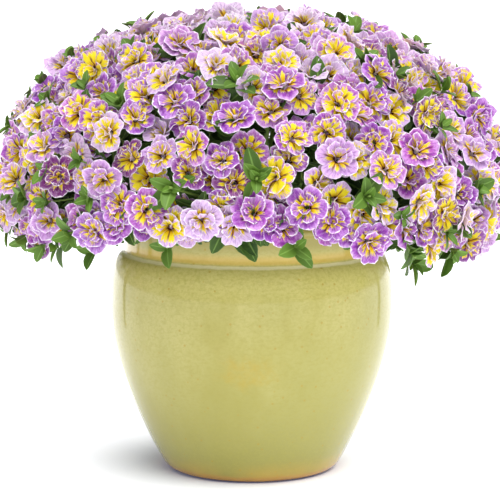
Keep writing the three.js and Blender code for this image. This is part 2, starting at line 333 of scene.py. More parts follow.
# %% [markdown]
# ## What fills the gaps
#
# The solids hold as many flowers as they can, but a plant in full bloom has more: between
# the open ones others look out, half hidden, lower and turned further away. Here and there
# the tip of a young leafy shoot, a sprig, looks out too. Both are scattered in the same
# way, with what is already there kept clear.

# %% More flowers in the gaps
GAP_TO_OPEN, GAP_TO_OPENING, GAP_TO_SHOOT, GAP_APART = 17, 13, 13, 18
GAPS_FROM, TOP_FROM, TOP_CLOSER = 14, 315, 0.84
GAP_OUTWARD, GAP_STRAY, GAP_SUNWARD, GAP_LOWEST_LOOK = 0.6, 1.8, 0.4, -0.1
fully_open = [flower for flower in flowers if not flower["opening"]]
still_opening = [flower for flower in flowers if flower["opening"]]


def gap_suits(site, kept):
    closer = TOP_CLOSER if site["point"][2] > TOP_FROM else 1
    return site["hang"] >= GAPS_FROM and clear_of(
        site,
        (fully_open, closer * GAP_TO_OPEN),
        (still_opening, closer * GAP_TO_OPENING),
        (shoots, GAP_TO_SHOOT),
        (kept, closer * GAP_APART),
    )


gap_flowers = scatter(seed=5151, tries=6000, suits=gap_suits)
for index, flower in enumerate(gap_flowers):
    roll = dice_for("gap flower", index)
    point = flower["point"]
    normal = dome_normal(point)
    outward = unit([point[0], point[1], 0])
    stray = [roll() - 0.5, roll() - 0.5, roll() - 0.4]
    facing = plus(plus(normal, outward, GAP_OUTWARD), stray, GAP_STRAY)
    facing = plus(facing, SUNWARD, GAP_SUNWARD)
    facing[2] = max(facing[2], GAP_LOWEST_LOOK)
    flower["axis"] = unit(facing)
    flower["face"] = plus(point, normal, -4 - 7 * roll())
    flower["face"][2] += lift(flower)
    flower["opening"] = False
    flower["in_gap"] = True
    flower["turn"] = TAU * roll()
    flower["size"] = 0.88 + 0.15 * roll()
print("flowers in the gaps:", len(gap_flowers))

# %% Sprigs, at the sides and behind
SPRIG_TO_FLOWER, SPRIG_TO_GAP_FLOWER, SPRIGS_APART = 13, 11, 21
SPRIG_SHARE = 0.42
SPRIGS_FROM, SIDES_FROM, BACK_FROM = 8, 110, 30


def sprig_suits(site, kept):
    x, y, _ = site["point"]
    at_side_or_back = abs(x) > SIDES_FROM or y > BACK_FROM
    if site["hang"] < SPRIGS_FROM or site["chance"] >= SPRIG_SHARE or not at_side_or_back:
        return False
    return clear_of(
        site,
        (flowers, SPRIG_TO_FLOWER),
        (gap_flowers, SPRIG_TO_GAP_FLOWER),
        (shoots + kept, SPRIGS_APART),
    )


sprigs = scatter(seed=808, tries=5000, suits=sprig_suits)
print("sprigs:", len(sprigs))

# %% Which spray carries each flower and shoot
for flower in flowers + gap_flowers:
    spray_under(flower["point"])["flowers"].append(flower)
for shoot in shoots:
    spray_under(shoot["point"])["shoots"].append(shoot)
print("most flowers on one spray:", max(len(spray["flowers"]) for spray in sprays))

# %% [markdown]
# ## Where the stems stand in the soil
#
# Each stem stands in a socket of its own in the soil. The feet start under the heads that
# they carry, drawn in towards the middle, and then push each other apart until every
# socket has room, as on the solids.

# %% The feet of the stems
SOIL_TOP, SOIL_CROWN = 189, 4
SOCKET_DEPTH, SOCKET_SLACK = 14, 0.35
FOOT_HEIGHT = SOIL_TOP - SOCKET_DEPTH + SOCKET_SLACK
FOOT_SPREAD, FEET_APART, PUSHES = 78, 10, 60


def shortened(p, longest):
    length = math.hypot(*p)
    return [a * longest / length for a in p] if length > longest else p


def plant_feet(ends):
    feet = []
    for end in ends:
        out = math.hypot(end[0], end[1])
        share = FOOT_SPREAD * min(1, out / (DOME_RADIUS - HEAD_DEPTH)) / out
        feet.append([end[0] * share, end[1] * share])
    for _ in range(PUSHES):
        for i, foot in enumerate(feet):
            for j in range(i + 1, len(feet)):
                way = minus(feet[j], foot)
                length = math.hypot(*way)
                push = max(0, FEET_APART - length) / 2 / (length or 1)
                feet[j] = plus(feet[j], way, push)
                foot = plus(foot, way, -push)
            feet[i] = foot
        feet = [shortened(foot, FOOT_SPREAD) for foot in feet]
    return [[*foot, FOOT_HEIGHT] for foot in feet]


feet = plant_feet([spray["head"] for spray in sprays] + [t["point"] for t in trailers])


def bezier(p, q, r, s, count):
    points = []
    for i in range(count + 1):
        t = i / count
        a = lerp(lerp(p, q, t), lerp(q, r, t), t)
        b = lerp(lerp(q, r, t), lerp(r, s, t), t)
        points.append(lerp(a, b, t))
    return points


# %% The way of a stem, and where a stalk leaves its spray's leafy head
LEAST_ARCH, HEAD_RADIUS = 235, 12


def stem_path(foot, end, count):
    """Straight up out of the soil, then over to the end of the stem."""
    collar = [foot[0], foot[1], SOIL_TOP + 2 * SOIL_CROWN]
    arch = max(LEAST_ARCH, 0.5 * (SOIL_TOP + end[2]))
    shoulder = lerp(collar, end, 0.7)
    rise = [collar[0], collar[1], arch]
    bend = [shoulder[0], shoulder[1], arch]
    return [foot, *bezier(collar, rise, bend, end, count)]


def root_in(spray, place):
    away = minus(place, spray["head"])
    away = plus(away, spray["ray"], -dot(away, spray["ray"]))
    return plus(spray["head"], shortened(away, HEAD_RADIUS))


for spray, foot in zip(sprays, feet):
    spray["foot"] = foot
for trailer, foot in zip(trailers, feet[len(sprays) :]):
    trailer["foot"] = foot
    trailer["tip"] = plus(trailer["point"], [0, 0, lift(trailer)])
print("feet:", len(feet), "first", [round(c, 1) for c in feet[0]])

# %% [markdown]
# ## How the finishes are made
#
# A finish here is a small graph of nodes: coordinates go in, a few sums shape a mask, and
# masks mix colours. These helpers keep each finish short to write and to read. They all
# work on the graph of the finish that was started last. Colours are given as they look on
# a screen and turned into the linear values that light needs.


# %% Start a finish
def new_finish(name, **fixed):
    """A finish and its shader, with fixed values in the sockets that are named."""
    global graph
    finish = bpy.data.materials.new(name)
    finish.use_nodes = True
    graph = finish.node_tree
    shader = graph.nodes["Principled BSDF"]
    for socket, value in fixed.items():
        shader.inputs[socket.replace("_", " ")].default_value = value
    return finish, shader


def tint(code):
    """A screen colour such as "8FB35A" as linear red, green, blue and alpha."""
    parts = [int(code[i : i + 2], 16) / 255 for i in (0, 2, 4)]
    return [c / 12.92 if c < 0.04045 else ((c + 0.055) / 1.055) ** 2.4 for c in parts] + [1]


# %% Nodes and what goes into them
def feed(socket, value):
    """Puts a number or a colour into a socket, or links another node's output to it."""
    if hasattr(value, "links"):
        graph.links.new(value, socket)
    else:
        socket.default_value = value


def add_node(kind, *values, **settings):
    """A node with its settings and with values in its first sockets. None leaves one out."""
    node = graph.nodes.new("ShaderNode" + kind)
    for name, setting in settings.items():
        setattr(node, name, setting)
    for socket, value in zip(node.inputs, values):
        if value is not None:
            feed(socket, value)
    return node


# %% Sums, steps and mixes
def calc(operation, *terms):
    return add_node("Math", *terms, operation=operation).outputs[0]


def ease(value, start, end):
    """0 before start and 1 after end, or the other way round, with a soft step between."""
    low, high = min(start, end), max(start, end)
    at_low, at_high = (0, 1) if start < end else (1, 0)
    node = add_node("MapRange", value, low, high, at_low, at_high, interpolation_type="SMOOTHSTEP")
    return node.outputs["Result"]


def blend(share, under, over):
    """One colour over another. The node itself keeps the share between 0 and 1."""
    node = add_node("Mix", share, data_type="RGBA")
    feed(node.inputs[6], under)
    feed(node.inputs[7], over)
    return node.outputs[2]


def times(value, factor):
    return calc("MULTIPLY", value, factor)


def added(start, *terms):
    """A start plus some terms, each given as its value and its weight."""
    for value, weight in terms:
        start = calc("MULTIPLY_ADD", value, weight, start)
    return start


def layered(colour, *layers):
    """A colour under thin layers, each given as its mask, its strength and its colour."""
    for mask, strength, code in layers:
        colour = blend(times(mask, strength), colour, tint(code))
    return colour


# %% Patterns, coordinates and bumps
def mottle(where, scale, detail=2, roughness=0.5):
    """Soft noise."""
    return add_node("TexNoise", where, None, scale, detail, roughness).outputs[0]


def from_seed_points(where, scale):
    """How far each place is from the nearest of many scattered points."""
    return add_node("TexVoronoi", where, None, scale).outputs["Distance"]


def coordinates(kind):
    return add_node("TexCoord").outputs[kind]


def split(vector):
    return list(add_node("SeparateXYZ", vector).outputs)


def join(x, y, z):
    return add_node("CombineXYZ", x, y, z).outputs[0]


def painted(name):
    """The three channels of a colour attribute that a mesh carries."""
    return split(add_node("Attribute", attribute_name=name).outputs["Vector"])


def roughen(shader, height, distance, strength):
    node = add_node("Bump", strength, distance)
    feed(node.inputs["Height"], height)
    feed(shader.inputs["Normal"], node.outputs[0])


# %% [markdown]
# ## The glaze
#
# The pot wears a glossy pale olive glaze. Such a glaze breaks into cream and tan where it
# runs thin, is greener where it pools, and is peppered with specks and a few rusty dots.
# A cream line painted along the ridge stands in for the highlight there, and a rusty stripe
# lies above it. The foot is left bare, so a thin line of clay shows there. Light and shade
# are painted into the glaze too: the shoulder is painted paler, to lift the plant's shade
# off it, the top of the collar darker, as in the shade of the flowers, and the pot darker
# towards its foot, where less light reaches. An image could carry all this, but it would
# have to be unwrapped round the pot. Soft noise in the pot's own space has no seam, and its
# height above the ground says where each mark belongs.

# %% Heights in metres where a mark of the glaze starts, and where it is full
SHOULDER_PAINTED_PALER, COLLAR_PAINTED_SHADE, PAINTED_SHADE_TO_FOOT = (0.143, 0.166), (0.178, 0.196), (0.165, 0.0)
STRIPE_FOOT, STRIPE_TOP = (0.1765, 0.179), (0.187, 0.181)
RIDGE_FOOT, RIDGE_TOP = (0.1746, 0.1758), (0.1778, 0.1768)
HEEL_GLOW, HEEL_LINE, BARE_CLAY = (0.024, 0.005), (0.0095, 0.0055), (0.0042, 0.0032)

# %% Glaze: the coordinates
glaze, shader = new_finish(
    "olive_glaze", Roughness=0.13, IOR=1.33, Coat_Weight=0.3, Coat_Roughness=0.04
)
place = coordinates("Object")
x, y, z = split(place)
running_down = join(x, y, times(z, 0.55))
running_round = join(x, y, times(z, 2))
ridge_height = added(z, (mottle(place, 70), 0.0012))
heel_height = added(z, (mottle(place, 60), 0.004))

# %% Glaze: the marks
thin = ease(mottle(running_down, 16, 5, 0.6), 0.36, 0.64)
greener = ease(mottle(running_down, 9, 2), 0.5, 0.7)
tan = ease(mottle(join(y, x, z), 11, 3), 0.56, 0.72)
specks = ease(mottle(place, 420, 3, 0.7), 0.42, 0.64)
rusty_dots = ease(from_seed_points(place, 115), 0.14, 0.08)
ripples = mottle(running_round, 260, 3, 0.6)
stripe = times(ease(z, *STRIPE_FOOT), ease(z, *STRIPE_TOP))
# Painted highlight: a cream line along the ridge.
ridge_painted_highlight = times(ease(ridge_height, *RIDGE_FOOT), ease(ridge_height, *RIDGE_TOP))
heel_patches = ease(mottle(running_down, 15, 3), 0.25, 0.65)
heel_glow = times(ease(heel_height, *HEEL_GLOW), heel_patches)

# %% Glaze: one ragged rusty spot on the front
spot_x = calc("MULTIPLY_ADD", x, 45, 0.2)
spot_z = calc("MULTIPLY_ADD", z, 70, -6.7)
from_spot = calc("ADD", times(spot_x, spot_x), times(spot_z, spot_z))
from_spot = added(from_spot, (mottle(place, 110, 4, 0.7), 4.4))
spot = times(ease(from_spot, 3.6, 1.4), ease(y, 0.0, -0.02))

# %% Glaze: all of it in layers
colour = layered(
    blend(thin, tint("AEA655"), tint("BFB76F")),
    (greener, 0.55, "9D9B52"),
    (tan, 0.5, "C0A664"),
    # Painted light: the shoulder is painted paler, to lift the shade that the plant casts on it.
    (ease(z, *SHOULDER_PAINTED_PALER), 0.6, "CBC276"),
    # Painted shade: the top of the collar is darker, as under the flowers that hang over it.
    (ease(z, *COLLAR_PAINTED_SHADE), 0.85, "94884A"),
    # Painted shade: the pot grows darker from below the shoulder down to its foot, where less light
    # reaches.
    (ease(z, *PAINTED_SHADE_TO_FOOT), 0.8, "8F8B43"),
    (specks, 0.34, "A49C4C"),
    (rusty_dots, 0.55, "AA8C2C"),
    (ease(ripples, 0.45, 0.66), 0.3, "9C9546"),
    (stripe, 0.65, "CDAA50"),
    # Painted highlight: the cream line along the ridge.
    (ridge_painted_highlight, 0.6, "F6EFC4"),
    (heel_glow, 0.65, "CBA244"),
    (spot, 0.55, "B49A32"),
    (ease(heel_height, *HEEL_LINE), 0.8, "BC8A3C"),
    (ease(heel_height, *BARE_CLAY), 1, "9A6C38"),
)
feed(shader.inputs["Base Color"], colour)
roughen(shader, ripples, 0.0004, 0.15)
print("finish:", glaze.name)

# %% [markdown]
# ## The potting soil
#
# Bark and peat: nearly black brown with lighter crumbs and a few white grains. Two noises
# of different fineness, each cut off at a level, are enough for that.

# %% Soil
earth, shader = new_finish("potting_soil", Roughness=0.95)
place = coordinates("Object")
crumbs = ease(mottle(place, 160, 4, 0.7), 0.4, 0.65)
white_grains = ease(mottle(place, 520, 2), 0.68, 0.72)
colour = blend(crumbs, tint("2A1D14"), tint("5A4230"))
colour = blend(white_grains, colour, tint("C9C0B0"))
feed(shader.inputs["Base Color"], colour)
roughen(shader, mottle(place, 300, 4, 0.7), 0.002, 0.8)
print("finish:", earth.name)

# %% [markdown]
# ## Petals
#
# Every petal carries its own map: `across` runs from one side to the other and `along`
# from the throat to the tip. On that map the real flower's drawing is simple. The blade
# is lilac, darker towards the middle, with a fine white edge. Two yellow flames with
# ragged ends lick out of the throat on both sides of a maroon midrib, and the throat is
# darkest of all. The back is pale, with the veins showing through.
#
# Two colour attributes vary it: `petal` holds a number for each petal, whether this is
# its back, and whether it is an inner one; `tone` holds how pink, how pale and how yellow
# the whole flower is. Below 0, how pale turns into how deep.

# %% Petals: the map, and noise drawn out along it
petal_finish, shader = new_finish(
    "lilac_petal",
    Roughness=0.5,
    Subsurface_Weight=0.6,
    Subsurface_Radius=(1.0, 0.8, 1.0),
    Subsurface_Scale=0.0008,
    Specular_IOR_Level=0.12,
)
across, along, _ = split(coordinates("UV"))
grain, back, inner = painted("petal")
pink, pale, golden = painted("tone")
side = calc("ABSOLUTE", calc("MULTIPLY_ADD", across, 2, -1))


def streaks(columns, rows, detail=2, roughness=0.6, scale=1, shift=1):
    """Noise that is stretched along the petal, and is another one on each petal."""
    where = join(times(across, columns), times(along, rows), times(grain, shift))
    return mottle(where, scale, detail, roughness)


ragged = streaks(12, 2.5, shift=37)
cloud = streaks(1, 1, roughness=0.5, scale=2.2, shift=91)
crinkle_and_painted_shade = streaks(13, 3.5, detail=3)
feather = streaks(32, 2.5)
fine = streaks(34, 1, detail=1, roughness=0.5)

# %% Petals: the blade, with its veins, and painted light and shade on its crinkles
deep = times(ease(cloud, 0.38, 0.6), ease(along, 1.05, 0.5))
edge_light = times(ease(along, 0.55, 1.0), ease(cloud, 0.62, 0.4))
bent = added(across, (cloud, 0.14))
vein_wave = calc("ABSOLUTE", calc("SINE", times(bent, 28)))
veins = times(ease(vein_wave, 0.4, 0.0), ease(along, 1.05, 0.6))
colour = layered(
    blend(pink, tint("A052C2"), tint("B852B0")),
    (deep, 0.9, "7A2E8E"),
    (edge_light, 0.7, "DAB0E4"),
    (pale, 0.8, "E8D2EC"),
    (pale, -0.85, "6A1F58"),
    (veins, 0.62, "7A3390"),
    # Painted light and shade: the crinkles are paler on their ridges and darker in their hollows.
    (ease(crinkle_and_painted_shade, 0.5, 0.72), 0.32, "E6D0EC"),
    (ease(crinkle_and_painted_shade, 0.5, 0.3), 0.5, "662680"),
    (ease(along, 0.8, 1.0), 0.16, "EAD8F0"),
)

# %% Petals: the flames, by how far out they reach at each place across
off_flame = calc("SUBTRACT", side, 0.34)
off_flame = times(off_flame, off_flame)
reach = added(
    -0.25, (golden, 0.34), (ragged, 0.8), (feather, 0.6), (off_flame, -1), (inner, 0.15)
)
flare = calc("SUBTRACT", reach, along)
yellow = blend(ease(along, 0.5, 0.15), tint("F6DC2C"), tint("E9BE14"))
colour = layered(colour, (ease(flare, -0.13, 0.03), 0.6, "F3E3C2"))
colour = blend(ease(flare, -0.04, 0.06), colour, yellow)

# %% Petals: the midrib, fine lines, side ribs, the throat and the white edge
rib = times(ease(side, 0.14, 0.03), ease(along, 0.75, 0.4))
lines = times(ease(fine, 0.56, 0.64), ease(along, 0.6, 0.25))
off_side_rib = calc("ABSOLUTE", calc("SUBTRACT", side, 0.62))
side_rib = times(ease(off_side_rib, 0.09, 0.02), ease(along, 0.42, 0.2))
to_side = times(calc("POWER", side, 3), calc("POWER", along, 0.5))
to_edge = added(calc("MAXIMUM", along, to_side), (calc("SUBTRACT", ragged, 0.5), 0.26))
uneven = calc("MULTIPLY_ADD", ease(cloud, 0.35, 0.6), 0.45, 0.5)
colour = layered(
    colour,
    (rib, 0.85, "5E1230"),
    (lines, 0.55, "9A4A1E"),
    (side_rib, 0.7, "70201E"),
    (ease(along, 0.2, 0.06), 1, "42081A"),
    (ease(to_edge, 0.94, 0.99), uneven, "FBF4FC"),
)

# %% Petals: the back
pale_back = blend(times(veins, 0.35), tint("EAD6F2"), tint("B48CD0"))
pale_back = blend(ease(along, 0.35, 0.0), pale_back, tint("D9D3A6"))
colour = blend(back, colour, pale_back)
feed(shader.inputs["Base Color"], colour)
roughen(shader, calc("ADD", ragged, crinkle_and_painted_shade), 0.0008, 0.8)
print("finish:", petal_finish.name)

# %% [markdown]
# ## Leaves and stems
#
# The leaf map is the same: the midrib lies along the middle, paler than the blade. The
# first channel of `tone` says how light a leaf is: the leaves at the tips are lighter and
# those further in darker. The second one marks stems, which are paler and yellower.

# %% Leaf finish
leaf_finish, shader = new_finish(
    "green_leaf",
    Roughness=0.5,
    Subsurface_Weight=0.05,
    Subsurface_Radius=(0.0006, 0.0012, 0.0003),
    Subsurface_Scale=1.0,
    Specular_IOR_Level=0.25,
)
across = split(coordinates("UV"))[0]
light, stemmy, _ = painted("tone")
side = calc("ABSOLUTE", calc("MULTIPLY_ADD", across, 2, -1))
colour = layered(
    blend(light, tint("243F1A"), tint("688B32")),
    (ease(mottle(coordinates("Object"), 180, 3), 0.4, 0.7), 0.3, "52742A"),
    (ease(side, 0.16, 0.03), 0.5, "8DB458"),
    (ease(side, 0.8, 1.0), 0.2, "8DB450"),
    (stemmy, 1, "86A24C"),
)
feed(shader.inputs["Base Color"], colour)
print("finish:", leaf_finish.name)

# %% [markdown]
# ## Sheets
#
# A petal and a leaf are both a thin sheet that is bent. Blender's grid operator makes the
# sheet, with its map; each corner is then moved by a formula of where it lies across and
# along; and the solidify operator gives the sheet its thickness and closes its edge. The
# edges between the faces and the thin rim are kept sharp, so that light breaks there and
# the petal doesn't look inflated.


# %% Helpers for sheets
def add_sheet(shape, columns, rows, bend):
    """A grid whose corners lie at bend(across, along). Returns its corners."""
    made = bmesh.ops.create_grid(
        shape, x_segments=columns, y_segments=rows, size=0.5, calc_uvs=True
    )
    for corner in made["verts"]:
        corner.co = bend(corner.co.x + 0.5, corner.co.y + 0.5)
    return made["verts"]


def new_shape(*channels):
    """An empty shape whose corners carry the given colour attributes."""
    shape = bmesh.new()
    shape.loops.layers.uv.new("UVMap")
    for channel in channels:
        shape.verts.layers.float_color.new(channel)
    return shape


def paint(corners, layer, colour):
    for corner in corners:
        corner[layer] = (*colour, 1)


def thicken(shape, thickness):
    """Gives all sheets a thickness. Returns the corners of the sides that point down."""
    before = set(shape.verts)
    bmesh.ops.solidify(shape, geom=shape.faces[:], thickness=thickness)
    smooth(shape.faces)
    for edge in shape.edges:
        if len(edge.link_faces) == 2:
            edge.smooth = edge.calc_face_angle() < 1
    return [corner for corner in shape.verts if corner not in before]


def smooth(faces):
    for face in faces:
        face.smooth = True


def kept_as(shape, name):
    mesh = bpy.data.meshes.new(name)
    shape.to_mesh(mesh)
    shape.free()
    return mesh


# %% [markdown]
# ## One flower
#
# The flower is double. Five broad lobes, each overlapping the next and notched at its
# tip, spread from a slim tube. Inside them stand three to five smaller ruffled petals, and
# two more stay curled in the throat. No two flowers are alike. Making each of the hundreds
# anew would be slow, so twelve open ones and six that are still opening are made with
# different draws, and each is used many times at its own turn and size.

# %% The outer lobes
PETAL_THICKNESS = 0.3
THROAT = 1.8


def lobe_bend(turn, reach, cup, roll):
    """A broad lobe that leaves the throat and spreads; cup is how steeply it rises."""
    arc = math.radians(76 + 8 * roll())
    droop = 0.04 + 0.1 * roll()
    wave = 0.9 + 1.4 * roll()
    phase = TAU * roll()
    notch = 0.05 * roll()
    reach = reach * (0.95 + 0.07 * roll())
    lean = roll() - 0.5

    def bend(across, along):
        side = math.sin(math.pi * (across - 0.5))
        rounded = 0.6 + 0.4 * math.sqrt(1 - 0.97 * side * side)
        edge = reach * (rounded - notch * math.exp(-((side / 0.16) ** 2)))
        edge *= 1 + 0.03 * math.sin(5.5 * side + phase)
        radius = THROAT + (edge - THROAT) * along
        angle = turn - 0.5 * side * (math.radians(72) * (1 - along) + arc * along)
        # Up out of the tube, then out, with a drooping tip.
        height = -5 * (1 - along) ** 2.2 - droop * reach * along**3
        height += cup * (radius - THROAT)
        # A long wave and a short one along the edge.
        height += wave * along**2 * math.sin(phase + 3.1 * side)
        height += 0.6 * wave * along**3 * math.sin(phase + 7.3 * side)
        # One side over the neighbour, and a furrow along the midrib.
        height += (0.9 * side + 0.8 * lean) * along
        height -= 0.5 * along * math.exp(-((side / 0.22) ** 2))
        return Vector((radius * math.cos(angle), radius * math.sin(angle), height))

    return bend


# %% The inner ruffle
def ruffle_bend(turn, reach, width, steep, roll):
    """A petal that climbs out of the throat, then flares; steep runs from 0 to 1."""
    arc = math.radians(width * (0.85 + 0.3 * roll()))
    wave = 0.8 + 1.4 * roll()
    phase = TAU * roll()
    top = 6.3 + 4 * steep + 1.8 * roll()
    curl = 0.2 + 0.5 * roll()
    fold = 7 * (roll() - 0.5)
    shift = Vector((roll() - 0.5, roll() - 0.5, 0)) * 3.4

    def bend(across, along):
        side = 2 * across - 1
        edge = reach * (1 - 0.2 * abs(side) ** 2.4 - 0.06 * math.exp(-((side / 0.2) ** 2)))
        flare = (1 - steep) * along + steep * along**2.2
        radius = 1.1 + (edge - 1.1) * flare
        angle = turn - 0.5 * side * arc * (0.5 + 0.5 * along)
        height = -4.5 + top * (along - 0.35 * curl * along**3)
        height += wave * along**1.5 * math.sin(phase + 4.2 * side)
        height += (fold * side - 0.8 * side * side) * along
        place = Vector((radius * math.cos(angle), radius * math.sin(angle), height))
        return place + shift * along

    return bend


# %% The tube behind the lobes
def tube_bend(across, along):
    angle = TAU * across
    radius = 1.3 + 0.5 * along + 0.9 * math.sin(math.pi * along) * along
    return Vector((radius * math.cos(angle), radius * math.sin(angle), -10.5 + 5.9 * along))


# %% A whole flower
OPEN_KINDS, OPENING_KINDS = 12, 6


def flower_mesh(kind, opening):
    roll = dice_for("flower shape", kind)
    shape = new_shape("petal", "tone")
    petal_layer = shape.verts.layers.float_color["petal"]
    reach = OPENING_RADIUS * 1.25 if opening else OPEN_RADIUS
    cup = 0.2 + 0.4 * roll() if opening else 0.02 + 0.14 * roll()
    for i in range(5):
        turn = TAU * i / 5 + 0.1 * (roll() - 0.5)
        corners = add_sheet(shape, 8, 3, lobe_bend(turn, reach, cup, roll))
        paint(corners, petal_layer, (roll(), 0, 0))
    inner_count = 3 + int(3 * roll())
    for i in range(inner_count):
        turn = TAU * (i + 0.5 + 0.9 * (roll() - 0.5)) / inner_count
        inner_reach = (0.42 + 0.34 * roll()) * reach
        bend = ruffle_bend(turn, inner_reach, 66 + 24 * roll(), 0.1 + 0.8 * roll(), roll)
        corners = add_sheet(shape, 4, 3, bend)
        paint(corners, petal_layer, (roll(), 0, 1))
    for i in range(2):
        turn = TAU * (i + 0.8 * roll()) / 2
        bend = ruffle_bend(turn, (0.2 + 0.16 * roll()) * reach, 120, 0.85, roll)
        corners = add_sheet(shape, 3, 2, bend)
        paint(corners, petal_layer, (roll(), 0, 1))
    backs = thicken(shape, PETAL_THICKNESS)
    for corner in backs:
        number, _, depth, _ = corner[petal_layer]
        corner[petal_layer] = (number, 1, depth, 1)
    tube = add_sheet(shape, 8, 2, tube_bend)
    paint(tube, petal_layer, (roll(), 1, 0))
    smooth(shape.faces)
    bmesh.ops.remove_doubles(shape, verts=tube, dist=0.001)
    return kept_as(shape, ("opening" if opening else "open") + f"_flower_{kind}")


open_flowers = [flower_mesh(kind, False) for kind in range(OPEN_KINDS)]
opening_flowers = [flower_mesh(OPEN_KINDS + kind, True) for kind in range(OPENING_KINDS)]
print("flower shapes:", len(open_flowers) + len(opening_flowers))
print("faces in one:", len(open_flowers[0].polygons))


# %% [markdown]
# ## One leaf
#
# Calibrachoa leaves are small and blunt, widest near their middle, folded a little along
# the midrib and arched back. Five of them with different folds and arches are enough.

# %% Leaves
LEAF_LENGTH, LEAF_WIDTH, LEAF_THICKNESS, LEAF_KINDS = 24, 12, 0.45, 5
LEAF_END_FROM, LEAF_END_HALF = 0.99, 0.8


def leaf_mesh(kind):
    roll = dice_for("leaf shape", kind)
    arch = 2 + 4 * roll()
    fold = 0.2 + 0.35 * roll()
    twist = 0.7 * (roll() - 0.5)
    shape = new_shape("tone")

    def bend(across, along):
        side = 2 * across - 1
        length = 1 - (1 - along) ** 1.35
        swell = max(0, math.sin(math.pi * length**0.95)) ** 0.62
        half = LEAF_WIDTH / 2 * (0.13 + 0.95 * swell)
        if along > LEAF_END_FROM:
            half = LEAF_END_HALF
        turn = twist * length
        out = side * half * math.cos(turn)
        height = fold * abs(side) * half - arch * length**2 + side * half * math.sin(turn)
        return Vector((out, LEAF_LENGTH * length, height))

    add_sheet(shape, 2, 5, bend)
    thicken(shape, LEAF_THICKNESS)
    return kept_as(shape, f"leaf_{kind}")


leaves = [leaf_mesh(kind) for kind in range(LEAF_KINDS)]
print("leaf shapes:", len(leaves), "faces in one:", len(leaves[0].polygons))


# %% [markdown]
# ## Placing shapes
#
# A ready shape is copied into a piece through a matrix of its place, turn and size, and
# its corners are painted with the tone of that copy. Copies end up in one mesh, because
# instances would be lost when the model is saved. Stems and stalks are a sheet too, rolled
# up along a path.


# %% Placing a shape by its axes
def frame_at(origin, x, y, z, scale=1.0):
    turned = Matrix((x, y, z)).transposed().to_4x4()
    return Matrix.Translation(Vector(origin) * MM) @ turned @ Matrix.Scale(scale * MM, 4)


def grow(piece, mesh, where, tone):
    """Adds a copy of a ready shape to a piece."""
    start = len(piece.verts)
    piece.from_mesh(mesh)
    piece.verts.ensure_lookup_table()
    fresh = piece.verts[start:]
    bmesh.ops.transform(piece, matrix=where, verts=fresh)
    paint(fresh, piece.verts.layers.float_color["tone"], tone)


# %% A slim tube along a path
def add_tube(piece, path, radii, sides, tone):
    """A round tube along a path. Both its ends are closed to a point."""
    points = [Vector(p) * MM for p in path]
    steps = len(points) - 1
    along_path = [
        (points[min(i + 1, steps)] - points[max(i - 1, 0)]).normalized() for i in range(steps + 1)
    ]
    x = along_path[0].orthogonal().normalized()
    frames = []
    for i, way in enumerate(along_path):
        if i:
            x.rotate(along_path[i - 1].rotation_difference(way))
        frames.append((x.copy(), way.cross(x)))

    def bend(across, along):
        i = round(along * steps)
        angle = TAU * across
        right, up = frames[i]
        radius = 0 if i in (0, steps) else radii[i] * MM
        return points[i] + radius * (right * math.cos(angle) + up * math.sin(angle))

    corners = add_sheet(piece, sides, steps, bend)
    paint(corners, piece.verts.layers.float_color["tone"], tone)
    smooth({face for corner in corners for face in corner.link_faces})


def stalk(piece, path, radius, sides=4, tone=(0.5, 1, 0)):
    """A tube whose ends stay nearly as thick as the rest."""
    first, second, last, before = path[0], path[1], path[-1], path[-2]
    whole = [first, lerp(first, second, 0.02), *path[1:-1], lerp(last, before, 0.02), last]
    add_tube(piece, whole, [radius] * len(whole), sides, tone)


# %% A leaf on a stalk
def leaf_at(piece, base, way, axis, length, roll, light):
    """A leaf from a base along a way, its upper face towards the axis of its shoot."""
    y = unit(way)
    z = plus(axis, y, -dot(axis, y))
    z = unit(z) if dot(z, z) > 1e-4 else across_axis(y, 0)[0]
    x = cross(y, z)
    mesh = leaves[int(len(leaves) * roll())]
    scale = length / LEAF_LENGTH
    grow(piece, mesh, frame_at(base, x, y, z, scale), (light, 0, 0))


# %% [markdown]
# ## Foliage
#
# Under the flowers each spray is a thicket: a stem out of the soil, a stalk to each
# flower with one to three leaves on it, rings of leaves round the head, and leafy shoots
# and sprigs that come up through the gaps. The leaves further in are darker.


# %% Leaves round a shoot's tip, where the solid has its three
def whorl(piece, centre, axis, count, roll, extra, crowd):
    """The given count of leaves, then a crowd of short ones above and one of long ones below."""
    turn = TAU * roll()
    for i in range(count):
        away = across_axis(axis, turn + TAU * (i + 0.3 * roll()) / count)[0]
        rise = 12 + 6 * roll()
        reach = 13 + 5 * roll()
        way = plus([a * reach for a in away], axis, rise)
        length = (math.hypot(*way) + 1.8) * (0.6 + 0.3 * extra())
        leaf_at(piece, plus(centre, axis, -1.8), way, axis, length, extra, 0.5 + 0.35 * extra())
    for i in range(crowd):
        away = across_axis(axis, turn + TAU * (i + extra()) / crowd)[0]
        way = plus([a * (4 + 5 * extra()) for a in away], axis, 11 + 5 * extra())
        leaf_at(piece, centre, way, axis, 9 + 7 * extra(), extra, 0.6 + 0.3 * extra())
    for i in range(crowd):
        away = across_axis(axis, turn + TAU * (i + extra()) / crowd)[0]
        way = plus([a * (12 + 8 * extra()) for a in away], axis, 4 + 7 * extra())
        leaf_at(piece, plus(centre, axis, -6), way, axis, 18 + 6 * extra(), extra, 0.3 + 0.3 * extra())


# %% A thin stalk with single leaves that stand off it at the given shares of its way
STALK_STEPS, STALK_RADIUS = 4, 0.75


